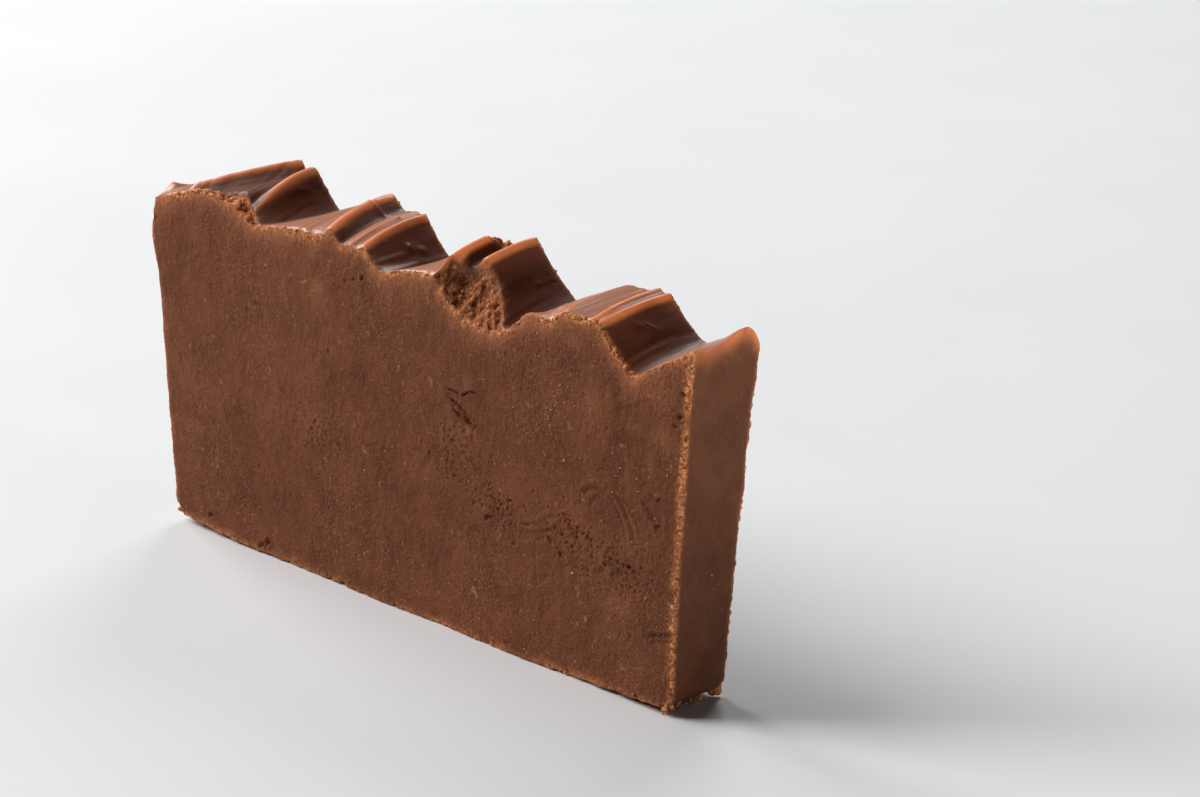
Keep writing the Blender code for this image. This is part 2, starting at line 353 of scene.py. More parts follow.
# Loose crumbs and sugar grains.
CRUMBS = 700
CRUMB_RADIUS = 0.2
CRUMB_REACH = 1.3
CRUMB_VARIETY = 0.4
TOP_CRUMB_SHARE = 2.5
REAR_CRUMB_SHARE = 0.35
FOOT_CRUMBS = 44
FOOT_CRUMB_START = (69.5, -6.2)
FOOT_CRUMB_END = (70.0, 6.4)
FOOT_CRUMB_PILE = 1.7
FOOT_CRUMB_GROWTH = 0.45
FOOT_CRUMB_BUNCHING = (0.35, 0.5)
SUGAR_GRAINS = 420
SUGAR_RADIUS = 0.1
SUGAR_VARIETY = 0.35

# Paler patches of the cut face, with their half sizes and how strong they are.
Pale = namedtuple("Pale", "x z half_length half_height strength")
FRONT_PALES = (
    Pale(-23.5, 58.5, 2.2, 2.2, 0.8),
    Pale(-25.0, 65.0, 1.2, 0.8, 0.8),
    Pale(-62.0, 63.0, 1.6, 1.4, 0.3),
    Pale(-27.0, 32.0, 5.5, 2.4, 0.55),
    Pale(-64.0, 22.0, 5.0, 1.2, 0.5),
    Pale(18.5, 50.0, 1.2, 2.2, 0.6),
    Pale(19.0, 41.0, 1.4, 0.7, 0.9),
    Pale(51.5, 53.5, 4.0, 3.4, 0.6),
    Pale(46.0, 64.0, 2.0, 1.2, 0.6),
    Pale(62.0, 52.0, 2.4, 1.4, 0.5),
    Pale(68.5, 51.0, 2.6, 2.4, 0.95),
    Pale(66.0, 46.0, 1.2, 3.0, 0.5),
    Pale(57.5, 17.5, 3.6, 1.8, 0.5),
    Pale(36.0, 24.5, 3.0, 2.2, 0.4),
    Pale(68.0, 59.5, 3.5, 4.0, 0.4),
    Pale(50.0, 20.5, 3.2, 1.4, 0.5),
    Pale(14.0, 38.0, 4.0, 3.0, 0.4),
    Pale(46.0, 28.0, 8.0, 4.5, 0.45),
)

# Colours, as linear red, green and blue.
CUT_DARK = (0.125, 0.037, 0.0145, 1.0)
CUT_LIGHT = (0.205, 0.066, 0.028, 1.0)
SMEAR = (0.29, 0.104, 0.046, 1.0)
PALE = (0.34, 0.125, 0.057, 1.0)
SPECK = (0.46, 0.21, 0.10, 1.0)
# Painted glow along the top of the cut faces.
PAINTED_GLOW = (0.44, 0.158, 0.073, 1.0)
SKIN_DARK = (0.138, 0.032, 0.009, 1.0)
SKIN_LIGHT = (0.172, 0.046, 0.015, 1.0)
# Painted light and sheen that make the ramps pinkish.
PAINTED_RAMP_LIGHT = (0.41, 0.147, 0.070, 1.0)
END_DARK = (0.118, 0.038, 0.0145, 1.0)
END_LIGHT = (0.160, 0.054, 0.0215, 1.0)
# Painted orange glow along the ridges and the tips of the ends.
PAINTED_CREST_GLOW = (0.88, 0.27, 0.092, 1.0)
CRUMBLY_DARK = (0.42, 0.128, 0.046, 1.0)
CRUMBLY_LIGHT = (0.97, 0.41, 0.165, 1.0)
# Painted shade, mixed into the pits, hollows, crevices, grooves and two steep faces.
PAINTED_SHADE = (0.05, 0.012, 0.004, 1.0)
SUGAR_DARK = (0.50, 0.28, 0.13, 1.0)
SUGAR_LIGHT = (0.80, 0.58, 0.34, 1.0)
FLOOR_DARK = (0.80, 0.81, 0.82, 1.0)
FLOOR_LIGHT = (0.84, 0.845, 0.85, 1.0)

# Numbers of the sockets of a node that mixes colours: its share, its two colours and its result.
MIX_SHARE = 0
MIX_FIRST = 6
MIX_SECOND = 7
MIX_RESULT = 2

# The camera, fitted to the corners of the slice in the photograph.
CAMERA_PLACE = (0.45067, -0.39542, 0.23626)
CAMERA_AZIMUTH_DEG = 45.776
CAMERA_ELEVATION_DEG = 18.114
CAMERA_LENS = 100.0
CAMERA_SENSOR = 36.0

# Height of the bump in the material, in metres. It is only for grain finer than the lattice.
BUMP_HEIGHT = 0.00055

# The floor reaches this far from the middle, in metres.
FLOOR_REACH = 3.0

# The large soft lights look at this place. Each has a heading on the floor plan, an elevation in degrees
# and a power in watts.
LIGHT_TARGET = (0.0, 0.0, 0.035)
FAR_LIGHT_DISTANCE = 2.2
FAR_LIGHT_SIZE = 0.9
FarLight = namedtuple("FarLight", "name heading elevation_deg power")
FAR_LIGHTS = (
    FarLight("key_low", (-0.84, -0.58), 35.0, 27.0),
    FarLight("key_high", (-0.84, -0.58), 60.0, 16.0),
    FarLight("side", (-1.0, 0.1), 30.0, 22.0),
    FarLight("back", (-0.5, 0.87), 40.0, 12.0),
    FarLight("end_fill", (1.0, 0.1), 15.0, 2.0),
)
WORLD_COLOUR = (0.93, 0.96, 1.0, 1.0)
WORLD_STRENGTH = 0.015

# A small light that is brightest at the top of the right end.
END_LIGHT_PLACE = (0.52, 0.03, 0.075)
END_LIGHT_TARGET = (0.075, 0.0, 0.095)
END_LIGHT_SIZE = 0.06
END_LIGHT_SPREAD_DEG = 24.0
END_LIGHT_POWER = 0.024


def blend(front, rear, share):
    return front + (rear - front) * share


def ease_from_front(thickness_share):
    """The top settles near the front cut, so the front shape fades fast behind it."""
    return 1.0 - (1.0 - thickness_share) ** FRONT_EASE_POWER


def ramp_height(x, tooth):
    share = (x - tooth.foot) / (tooth.shoulder - tooth.foot)
    swell = RAMP_SWELL * np.sin(np.pi * np.clip(share, 0.0, 1.0))
    return tooth.foot_height + (tooth.shoulder_height - tooth.foot_height) * share + swell


def block_height(x, tooth):
    share = (x - tooth.shoulder) / (tooth.crest - tooth.shoulder)
    return tooth.shoulder_height + (tooth.crest_height - tooth.shoulder_height) * share


def steep_height(x, tooth, next_foot, next_foot_height):
    share = np.clip((next_foot - x) / (next_foot - tooth.crest), 0.0, 1.0)
    return next_foot_height + (tooth.crest_height - next_foot_height) * share**STEEP_POWER


def saw_height(x, ease):
    """Height of the toothed top, before its ridges and broken edges."""
    teeth = [
        Tooth(*(blend(front, rear, ease) for front, rear in zip(front_tooth, rear_tooth)))
        for front_tooth, rear_tooth in zip(FRONT_TEETH, REAR_TEETH)
    ]
    feet = [tooth.foot for tooth in teeth[1:]] + [blend(*LAST_FOOT, ease)]
    foot_heights = [tooth.foot_height for tooth in teeth[1:]] + [blend(*LAST_FOOT_HEIGHT, ease)]
    end_share = np.clip((x - feet[-1]) / (HALF_LENGTH - feet[-1]), 0.0, None)
    end_height = blend(*RIGHT_END_HEIGHT, ease)
    height = foot_heights[-1] + (end_height - foot_heights[-1]) * end_share**END_RISE_POWER
    for tooth, next_foot, next_height in zip(teeth[::-1], feet[::-1], foot_heights[::-1]):
        height = np.where(x < next_foot, steep_height(x, tooth, next_foot, next_height), height)
        height = np.where(x < tooth.crest, block_height(x, tooth), height)
        height = np.where(x < tooth.shoulder, ramp_height(x, tooth), height)
    return height


def rounded_saw_height(x, ease):
    """The toothed top with its corners rounded, as an average over a short length."""
    offsets = np.linspace(-EDGE_ROUNDING, EDGE_ROUNDING, ROUNDING_SAMPLES)
    return sum(saw_height(x + offset, ease) for offset in offsets) / ROUNDING_SAMPLES


def ridge_relief(x, ease):
    relief = np.zeros_like(x)
    for ridge in RIDGES:
        centre = blend(ridge.front_x, ridge.rear_x, ease)
        relief += ridge.height * np.exp(-(((x - centre) / ridge.spread) ** 2))
    return relief


def swell_relief(x, from_front):
    relief = np.zeros_like(x)
    for swell in SWELLS:
        along = (x - swell.x) / swell.spread_x
        across = (from_front - swell.from_front) / swell.spread_y
        relief += swell.height * np.exp(-(along**2) - across**2)
    return relief


def crag_relief(x, from_front):
    """An uneven pattern of lumps from -1 to 1, from two crossed waves."""
    short, long = CRAG_LENGTHS
    first = np.sin(2.0 * np.pi * (x + from_front) / short)
    second = np.sin(2.0 * np.pi * (x - 1.6 * from_front) / long)
    return 0.5 * (first + second)


def break_shares(x, from_front, edge_break):
    """How far along the break a point is, the depth there, and how far inside it the point lies."""
    share = np.clip((x - edge_break.start) / (edge_break.end - edge_break.start), 0.0, 1.0)
    depth = edge_break.depth * 4.0 * share * (1.0 - share)
    from_edge = TOP_THICKNESS - from_front if edge_break.at_rear else from_front
    inside = np.clip(from_edge / np.maximum(depth, LEAST_BREAK_DEPTH), 0.0, 1.0)
    return share, depth, inside


def broken(height, x, from_front, edge_break):
    """Lowers the top to the slanting surface that a broken edge leaves."""
    share, depth, inside = break_shares(x, from_front, edge_break)
    fall = 1.0 - (1.0 - share) ** edge_break.fall_power
    edge = blend(edge_break.start_height, edge_break.end_height, fall)
    crags = CRAG_HEIGHT * crag_relief(x, from_front) * (1.0 - inside)
    lowered = edge + (height - edge) * inside**BREAK_POWER + crags
    return np.where(depth > LEAST_BREAK_DEPTH, np.minimum(height, lowered), height)


def top_height(x, thickness_share):
    ease = ease_from_front(thickness_share)
    from_front = thickness_share * TOP_THICKNESS
    height = rounded_saw_height(x, ease) + ridge_relief(x, ease) + swell_relief(x, from_front)
    for edge_break in BREAKS:
        height = broken(height, x, from_front, edge_break)
    return height


def base_height(x):
    """The base is flat in the middle and bows up a little towards the ends."""
    beyond = np.clip(np.abs(x) - FLAT_HALF_LENGTH, 0.0, None)
    return BASE_BOW * (beyond / (HALF_LENGTH - FLAT_HALF_LENGTH)) ** 2


def end_position(x, z, thickness_share):
    """How far the end lies from the middle at this height, on the side that x is on."""
    draft = np.where(x < 0.0, LEFT_DRAFT, RIGHT_DRAFT) * (1.0 - z / REFERENCE_HEIGHT)
    bulge = LEFT_BULGE * np.exp(-(((z - LEFT_BULGE_HEIGHT) / LEFT_BULGE_SPREAD) ** 2))
    step_share = np.clip((z - LEFT_STEP_HEIGHT) / LEFT_STEP_RISE, 0.0, 1.0)
    step = LEFT_STEP * step_share * (1.0 - thickness_share)
    hollow = END_HOLLOW * np.sin(np.pi * np.clip(z / REFERENCE_HEIGHT, 0.0, 1.0))
    return HALF_LENGTH - draft + np.where(x < 0.0, bulge - step, -hollow)


def cut_wave(x, z, phase):
    along = 2.0 * np.pi * x / CUT_WAVE_LENGTH
    return CUT_WAVE * np.sin(along + CUT_WAVE_RISE * z + phase)


def round_bottom_corner(x, z, base, end):
    """Moves points of the square corner onto a round one, growing from its centre."""
    beyond = np.abs(x) - (end - CORNER_RADIUS)
    below = CORNER_RADIUS - (z - base)
    in_corner = (beyond > 0.0) & (below > 0.0)
    reach = np.maximum(beyond, below)
    distance = np.hypot(beyond, below)
    shrink = np.where(in_corner, reach / np.maximum(distance, 1e-9), 1.0)
    rounded_x = np.sign(x) * (end - CORNER_RADIUS + beyond * shrink)
    rounded_z = base + CORNER_RADIUS - below * shrink
    return np.where(in_corner, rounded_x, x), np.where(in_corner, rounded_z, z)


def slice_points(shares):
    """Turns shares of length, thickness and height, each from 0 to 1, into points of the slice."""
    length_share, thickness_share, height_share = shares.T
    loaf_x = (2.0 * length_share - 1.0) * HALF_LENGTH
    base = base_height(loaf_x)
    z = base + height_share * (top_height(loaf_x, thickness_share) - base)
    end = end_position(loaf_x, z, thickness_share)
    x = loaf_x * end / HALF_LENGTH
    x, z = round_bottom_corner(x, z, base, end)
    front = -FOOT_THICKNESS / 2.0 + FRONT_LEAN * z / REFERENCE_HEIGHT + cut_wave(x, z, 0.0)
    rear = FOOT_THICKNESS / 2.0 + REAR_LEAN * z / REFERENCE_HEIGHT + cut_wave(x, z, REAR_WAVE_PHASE)
    return np.stack([x, blend(front, rear, thickness_share), z], axis=1)


def box_lattice(counts):
    """Steps of every outer point of a box of cells, and the corner numbers of its outer faces."""
    steps = np.stack(np.meshgrid(*[np.arange(count + 1) for count in counts], indexing="ij"), axis=-1)
    outer = np.any((steps == 0) | (steps == np.array(counts)), axis=-1)
    number = (np.cumsum(outer.ravel()) - 1).reshape(outer.shape)
    faces = []
    for axis in range(3):
        for end in (0, counts[axis]):
            layer = np.take(number, end, axis=axis)
            corners = [layer[:-1, :-1], layer[1:, :-1], layer[1:, 1:], layer[:-1, 1:]]
            side = np.stack(corners, axis=-1).reshape(-1, 4)
            inside_out = (end == 0) == (axis != 1)
            faces.append(side[:, ::-1] if inside_out else side)
    return steps[outer], np.concatenate(faces)


def mesh_from(name, points, faces):
    """A smooth-shaded mesh in metres from points in millimetres."""
    mesh = bpy.data.meshes.new(name)
    mesh.from_pydata((points + np.array(MODEL_SHIFT)) * METRES_PER_MM, [], faces.tolist())
    mesh.shade_smooth()
    return mesh


def vertex_normals(mesh):
    normals = np.zeros(len(mesh.vertices) * 3, np.float32)
    mesh.vertex_normals.foreach_get("vector", normals)
    return normals.reshape(-1, 3).astype(float)


def lumps(points, size, seed):
    """Smooth noise from -1 to 1, with lumps of this size. The size may differ by axis."""
    table = np.random.default_rng(seed).random((TABLE, TABLE, TABLE))
    scaled = points / np.array(size, float)
    cell = np.floor(scaled).astype(int)
    share = scaled - cell
    share = share * share * (3.0 - 2.0 * share)
    total = np.zeros(len(points))
    for corner in itertools.product((0, 1), repeat=3):
        index = (cell + corner) % TABLE
        weight = np.prod(np.where(np.array(corner) == 1, share, 1.0 - share), axis=1)
        total += weight * table[index[:, 0], index[:, 1], index[:, 2]]
    return 2.0 * total - 1.0


def noise_relief(points, relief, layers=1):
    """Relief of one or more layers of noise, each half as large and half as high as the last one."""
    total = np.zeros(len(points))
    for layer in range(layers):
        total += lumps(points, np.array(relief.size) / 2.0**layer, relief.seed + layer) / 2.0**layer
    return relief.height * (total / (2.0 - 2.0 ** (1 - layers)))


def grains(points, size, seed):
    """Distances to the nearest and the second nearest grain centre, in shares of the grain size."""
    jitter = np.random.default_rng(seed).random((TABLE, TABLE, TABLE, 3))
    scaled = points / size
    cell = np.floor(scaled).astype(int)
    nearest = np.full(len(points), 9.0)
    second = np.full(len(points), 9.0)
    for step in itertools.product((-1, 0, 1), repeat=3):
        neighbour = cell + np.array(step)
        index = neighbour % TABLE
        centre = neighbour + jitter[index[:, 0], index[:, 1], index[:, 2]]
        distance = np.linalg.norm(scaled - centre, axis=1)
        second = np.minimum(second, np.maximum(nearest, distance))
        nearest = np.minimum(nearest, distance)
    return nearest, second


def bell(distance, spread):
    return np.exp(-((distance / spread) ** 2))


def describe_surface(shares, points, normals):
    """What each lattice point is near: its side, and its distance from each edge, in millimetres."""
    length_share, thickness_share, height_share = shares.T
    loaf_x = (2.0 * length_share - 1.0) * HALF_LENGTH
    tall = top_height(loaf_x, thickness_share) - base_height(loaf_x)
    thick = FOOT_THICKNESS + (REAR_LEAN - FRONT_LEAN) * points[:, 2] / REFERENCE_HEIGHT
    surface = SimpleNamespace(points=points, normals=normals, loaf_x=loaf_x)
    surface.front = thickness_share == 0.0
    surface.rear = thickness_share == 1.0
    surface.cut = surface.front | surface.rear
    surface.top = (height_share == 1.0) & ~surface.cut
    surface.end = ((length_share == 0.0) | (length_share == 1.0)) & ~surface.cut
    surface.top_gap = (1.0 - height_share) * tall
    surface.base_gap = height_share * tall
    surface.left_gap = length_share * 2.0 * HALF_LENGTH
    surface.right_gap = (1.0 - length_share) * 2.0 * HALF_LENGTH
    surface.front_gap = thickness_share * thick
    surface.rear_gap = (1.0 - thickness_share) * thick
    in_face = np.minimum.reduce([surface.top_gap, surface.base_gap, surface.left_gap, surface.right_gap])
    across = np.minimum(surface.front_gap, surface.rear_gap)
    surface.rim_gap = np.where(surface.cut, in_face, across)
    surface.from_front = thickness_share * TOP_THICKNESS
    return surface


def rim_strength(surface):
    """How crumbly the nearest cut edge is: the top and the right end most, the left end least."""
    past_corner = share_between(surface.left_gap, SMOOTH_LEFT_CORNER)
    near_top = bell(surface.top_gap, RIM_REACH) * blend(LEFT_RIM_SHARE, 1.0, past_corner)
    near_base = BASE_RIM_SHARE * bell(surface.base_gap, RIM_REACH)
    near_left = LEFT_RIM_SHARE * bell(surface.left_gap, RIM_REACH)
    near_right = RIGHT_RIM_SHARE * bell(surface.right_gap, RIM_REACH)
    strength = np.maximum.reduce([near_top, near_base, near_left, near_right])
    patchy = RIM_PATCH_LEVEL + noise_relief(surface.points, RIM_PATCHES)
    at_rear = surface.rear | (surface.rear_gap < surface.front_gap)
    return strength * patchy * np.where(at_rear, REAR_RIM_SHARE, 1.0)


def break_mask(surface, strengths=(1.0, 1.0, 1.0)):
    """The crumbly surface of the broken edges at their strengths, fading out to the smooth skin."""
    mask = np.zeros(len(surface.points))
    for edge_break, strength in zip(BREAKS, strengths):
        share, depth, inside = break_shares(surface.loaf_x, surface.from_front, edge_break)
        here = np.where(depth > 0.3, np.clip((1.0 - inside) * 4.0, 0.0, 1.0), 0.0)
        mask = np.maximum(mask, strength * here * surface.top)
    return mask


def crumb_relief(points, where, crumbs):
    """Lumps with crevices between them, from about -1 in a crevice to 0.5 on a lump, and zero elsewhere."""
    shape = np.zeros(len(points))
    here = points[where]
    size = crumbs.size
    nearest, second = grains(here + 0.3 * size * np.sin(here[:, [1, 2, 0]] * 2.0 / size), size, crumbs.seed)
    crevice = bell(second - nearest, 0.22)
    shape[where] = 0.5 * (1.0 - 1.3 * nearest) - 0.8 * crevice
    return shape


def scattered_pits(patches, seed):
    """Seeded pits of each patch, thick in its middle and thin towards its edge."""
    random = np.random.default_rng(seed)
    pits = []
    for patch in patches:
        turn = np.radians(patch.turn_deg)
        for _ in range(patch.pits):
            along, up = random.normal(0.0, 0.5, 2) * (patch.half_length, patch.half_height)
            x = patch.x + along * np.cos(turn) - up * np.sin(turn)
            z = patch.z + along * np.sin(turn) + up * np.cos(turn)
            size = random.uniform(0.7, 1.5)
            depth = patch.depth * size * random.uniform(0.7, 1.2)
            raised = random.random() < RAISED_PIT_SHARE
            pits.append(Pit(x, z, patch.radius * size, depth, raised))
    return pits


def whole_face_pits(radius, depth, seed):
    """Seeded pits spread evenly over a cut face."""
    random = np.random.default_rng(seed)
    pits = []
    for _ in range(WHOLE_FACE_PITS):
        x = random.uniform(-PITTED_HALF_LENGTH, PITTED_HALF_LENGTH)
        z = random.uniform(*PITTED_HEIGHTS)
        size = random.uniform(0.6, 1.4)
        raised = random.random() < RAISED_PIT_SHARE
        pits.append(Pit(x, z, radius * size, depth * size, raised))
    return pits


def point_tree(points, numbers):
    """A tree that finds those of the points whose numbers are given."""
    tree = KDTree(len(numbers))
    for number in numbers:
        tree.insert(points[number], int(number))
    tree.balance()
    return tree


def add_pits(relief, hollow, points, side, pits, seed):
    """Presses pits into one cut face. Each is a little longer than wide, at its own angle."""
    random = np.random.default_rng(seed)
    tree = point_tree(points * (1.0, 0.0, 1.0), np.flatnonzero(side))
    for pit in pits:
        turn = random.uniform(0.0, np.pi)
        stretch = random.uniform(1.0, 1.7)
        found = tree.find_range((pit.x, 0.0, pit.z), pit.radius * 3.2)
        near = np.array([number for _, number, _ in found], int)
        if len(near) == 0:
            continue
        dx = points[near, 0] - pit.x
        dz = points[near, 2] - pit.z
        along = (dx * np.cos(turn) + dz * np.sin(turn)) / stretch
        across = (-dx * np.sin(turn) + dz * np.cos(turn)) * stretch**0.5
        distance = np.hypot(along, across)
        dip = bell(distance, pit.radius)
        if pit.raised:
            relief[near] += 0.45 * pit.depth * dip
            continue
        relief[near] -= pit.depth * dip
        relief[near] += 0.3 * pit.depth * bell(distance - 1.6 * pit.radius, 0.5 * pit.radius)
        # The pit's painted shade.
        hollow[near] = np.maximum(hollow[near], dip**2 * min(1.0, pit.depth / FULL_PIT_DEPTH))


def add_nicks(relief, hollow, surface, strength, seed):
    """Bites out of the cut edges and lumps that stick to them, thickest where an edge is most crumbly."""
    random = np.random.default_rng(seed)
    tree = point_tree(surface.points, np.flatnonzero(surface.rim_gap < RIM_REACH))
    on_edge = np.flatnonzero(surface.rim_gap < 0.25)
    chance = strength[on_edge] ** 2
    chosen = random.choice(on_edge, NICKS, p=chance / chance.sum())
    for number in chosen:
        radius = random.uniform(*NICK_RADIUS) ** 1.3
        raised = random.random() < NICK_LUMP_SHARE
        depth = -0.3 * radius if raised else 0.85 * radius
        centre = surface.points[number] + random.normal(0.0, 0.35, 3)
        found = tree.find_range(centre, radius * 2.2)
        near = np.array([other for _, other, _ in found], int)
        if len(near) == 0:
            continue
        distance = np.array([gap for _, _, gap in found])
        dip = bell(distance, radius)
        relief[near] -= depth * dip
        if not raised:
            # The nick's painted shade.
            hollow[near] = np.maximum(hollow[near], 0.9 * dip**2)


def stroke_distance(flat_points, stroke):
    """Distance of each point from the bowed stroke, and how far along the stroke it is."""
    start = np.array([stroke.x0, stroke.z0])
    end = np.array([stroke.x1, stroke.z1])
    length = np.linalg.norm(end - start)
    along = (end - start) / length
    aside = np.array([-along[1], along[0]])
    flat = flat_points - start
    share = flat @ along / length
    clipped = np.clip(share, 0.0, 1.0)
    offset = flat @ aside - stroke.bow * 4.0 * clipped * (1.0 - clipped)
    beyond = (share - clipped) * length
    return np.hypot(offset, beyond), clipped


def add_strokes(relief, hollow, flat_points, side, strokes):
    for stroke in strokes:
        distance, share = stroke_distance(flat_points, stroke)
        taper = np.clip(6.0 * share, 0.3, 1.0) * np.clip(6.0 * (1.0 - share), 0.3, 1.0)
        groove = bell(distance, stroke.width) * taper * side
        bank = bell(distance - 1.9 * stroke.width, 0.7 * stroke.width) * taper * side
        relief += 0.35 * max(stroke.depth, 0.0) * bank - stroke.depth * groove
        # Painted shade along the groove of the stroke.
        hollow[:] = np.maximum(hollow, groove * np.clip(stroke.depth / 0.5, 0.0, 1.0))


def add_blobs(relief, flat_points, side, blobs):
    for blob in blobs:
        distance = np.hypot(flat_points[:, 0] - blob.x, flat_points[:, 1] - blob.z)
        relief -= blob.depth * bell(distance, blob.radius) * side


def bowl_relief(surface, breaks):
    """Hollows out the broken edges where the photograph shows them dark."""
    relief = np.zeros(len(surface.points))
    for bowl in BOWLS:
        along = (surface.loaf_x - bowl.x) / bowl.half_length
        across = (surface.from_front - bowl.from_front) / bowl.half_width
        relief = np.maximum(relief, bowl.depth * np.exp(-(along**4) - across**4))
    return -relief * breaks


def slant_lift(loaf_x, from_front):
    """How much the slanting ridge and its shelf lift the top of the first tooth, and where they are. The
    shelf's share also carries its painted shade.
    """
    on_top = np.stack([loaf_x, from_front], axis=1)
    distance, share = stroke_distance(on_top, SLANT_RIDGE)
    ridge = bell(distance, SLANT_RIDGE.width) * share_between(share, SLANT_RISE)
    start = np.array([SLANT_RIDGE.x0, SLANT_RIDGE.z0])
    end = np.array([SLANT_RIDGE.x1, SLANT_RIDGE.z1])
    along = (end - start) / np.linalg.norm(end - start)
    beside = (on_top - start) @ np.array([along[1], -along[0]])
    behind_rim = share_between(from_front, SHELF_FRONT)
    before_groove = 1.0 - share_between(loaf_x, SHELF_END)
    shelf = share_between(beside, SHELF_RUN) * before_groove
    old_ridge = RIDGES[0]
    levelled = old_ridge.height * bell(loaf_x - old_ridge.rear_x, old_ridge.spread)
    lift = -SLANT_RIDGE.depth * ridge - (SHELF_DROP * shelf + levelled) * behind_rim
    return lift, ridge, share_between(beside, SHELF_SHADE) * before_groove


def top_bend_and_slope(surface):
    """How far the top stands above the middle of its neighbours, and how much it rises to the right."""
    thickness_share = surface.from_front / TOP_THICKNESS
    left = top_height(surface.loaf_x - BEND_REACH, thickness_share)
    right = top_height(surface.loaf_x + BEND_REACH, thickness_share)
    bend = top_height(surface.loaf_x, thickness_share) - 0.5 * (left + right)
    return bend, (right - left) / (2.0 * BEND_REACH)


def share_between(values, limits):
    """Zero at the lower limit and one at the upper one, eased in between."""
    low, high = limits
    share = np.clip((values - low) / (high - low), 0.0, 1.0)
    return share * share * (3.0 - 2.0 * share)


def patch_mask(points, patches):
    """How strongly the cut face is covered with tiny pits, from the patches that have them."""
    mask = np.zeros(len(points))
    for patch in patches:
        turn = np.radians(patch.turn_deg)
        dx = points[:, 0] - patch.x
        dz = points[:, 2] - patch.z
        along = (dx * np.cos(turn) + dz * np.sin(turn)) / patch.half_length
        up = (-dx * np.sin(turn) + dz * np.cos(turn)) / patch.half_height
        mask = np.maximum(mask, np.exp(-(along**2) - up**2) * min(1.0, patch.depth / FULL_PATCH_DEPTH))
    return mask


def pale_mask(points, pales):
    mask = np.zeros(len(points))
    for pale in pales:
        across = (points[:, 0] - pale.x) / pale.half_length
        up = (points[:, 2] - pale.z) / pale.half_height
        mask = np.maximum(mask, pale.strength * np.exp(-(across**2) - up**2))
    return mask


def face_relief(surface):
    """Low relief of the two cut faces: slow dents, smears of the wire and a fine tooth."""
    points = surface.points
    leaned = points.copy()
    leaned[:, 0] += WIRE_LEAN * points[:, 2] + noise_relief(points, WIRE_WANDER)
    relief = noise_relief(points, FACE_DENTS, DENT_LAYERS)
    relief += noise_relief(points, FACE_LUMPS)
    relief += noise_relief(points, FACE_TOOTH)
    relief += noise_relief(leaned, WIRE_SMEARS)
    return relief * surface.cut


def skin_relief(surface):
    """Relief of the moulded skin: lines drawn along the thickness on the top, shallow dents on the ends."""
    points = surface.points
    drawn = sum(noise_relief(points * (1.0, 1.0, 0.0), lines) for lines in DRAWN_LINES)
    drawn += noise_relief(points, SKIN_LUMPS)
    dents = noise_relief(points, END_DENTS, DENT_LAYERS)
    return drawn * surface.top + dents * surface.end


